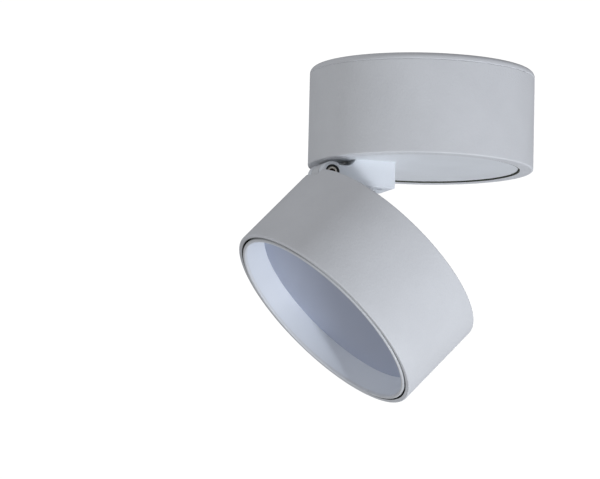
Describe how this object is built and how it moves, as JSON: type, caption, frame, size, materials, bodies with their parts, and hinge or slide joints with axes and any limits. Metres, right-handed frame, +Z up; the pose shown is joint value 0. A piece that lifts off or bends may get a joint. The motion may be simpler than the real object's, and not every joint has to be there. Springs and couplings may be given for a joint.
{
  "type": "surface mounted ceiling spotlight",
  "caption": "White ceiling spotlight in two equal drums: a fixed upper drum, and a lower drum that turns and tilts on a hinge arm, with a ringed opal front.",
  "frame": {"origin": "centre of the face that lies against the ceiling, midway between the two fixing slots", "axes": "+Z up into the ceiling, along the fixed drum's axis; -X from that axis towards the hinge; the hinge line is parallel to Y"},
  "size_m": [0.1431, 0.11, 0.163],
  "materials": {
    "white_coat": "fine matt white powder coat on cast aluminium",
    "white_ring": "smooth satin white coat on turned aluminium",
    "white_reflector": "smooth satin white polycarbonate",
    "opal": "opal acrylic, satin",
    "bright_steel": "nickel plated steel",
    "zinc_steel": "zinc plated steel",
    "black_nylon": "black nylon",
    "grey_nylon": "natural nylon",
    "black_rubber": "soft black rubber",
    "raw_aluminium": "as cast aluminium",
    "thermal_grey": "soft silicone sheet",
    "board_white": "white solder mask on an aluminium core",
    "chip_yellow": "phosphor in clear resin",
    "driver_plastic": "moulded white polycarbonate",
    "board_green": "green glass fibre laminate",
    "ferrite": "dark ferrite",
    "can_black": "sleeved aluminium can",
    "terminal_white": "moulded polyamide",
    "brass_screw": "plain brass",
    "lead_white": "white silicone sleeve",
    "lead_brown": "brown insulation",
    "lead_blue": "blue insulation",
    "lead_green": "green and yellow insulation"
  },
  "bodies": {
    "base": {"ceiling_plate": "white_coat", "base_shell": "white_coat", "slide_ring": "black_nylon", "swivel_bridge": "zinc_steel", "bridge_screws": "zinc_steel", "stop_pin": "zinc_steel", "cable_grommet": "black_rubber", "driver_case": "driver_plastic", "driver_lid": "driver_plastic", "driver_board": "board_green", "driver_transformer": "ferrite", "driver_capacitors": "can_black", "driver_screws": "zinc_steel", "terminal_block": "terminal_white", "terminal_screws": "brass_screw", "terminal_fixing_screw": "zinc_steel", "earth_screw": "zinc_steel", "live_lead": "lead_brown", "neutral_lead": "lead_blue", "earth_lead": "lead_green", "output_lead": "lead_white", "thrust_washer": "grey_nylon"},
    "turntable": {"turntable_disc": "white_coat", "hinge_arm": "white_coat", "slip_washer": "grey_nylon", "stop_washer": "zinc_steel", "spring_washer": "zinc_steel", "hub_nut": "zinc_steel", "turntable_lead": "lead_white", "arm_screws": "bright_steel", "hinge_screw": "bright_steel", "cup_washer": "black_nylon", "hinge_nut": "bright_steel", "friction_washers": "black_nylon", "hinge_lead": "lead_white"},
    "head": {"head_shell": "white_coat", "head_back_cover": "white_coat", "cover_screws": "white_coat", "lead_grommet": "black_rubber", "heat_sink": "raw_aluminium", "thermal_pad": "thermal_grey", "led_board": "board_white", "led_chips": "chip_yellow", "led_board_screws": "zinc_steel", "spacer_ring": "driver_plastic", "diffuser": "opal", "reflector": "white_reflector", "front_ring": "white_ring", "head_lead": "lead_white"}
  },
  "joints": [
    {"name": "pan", "type": "hinge", "parent": "base", "child": "turntable", "pos_m": [0, 0, -0.0435], "axis": [0, 0, 1], "range_deg": [-165, 165]},
    {"name": "tilt", "type": "hinge", "parent": "turntable", "child": "head", "pos_m": [-0.0495, 0, -0.05455], "axis": [0, 1, 0], "range_deg": [-44, 46], "deforming": ["hinge_lead"]}
  ]
}
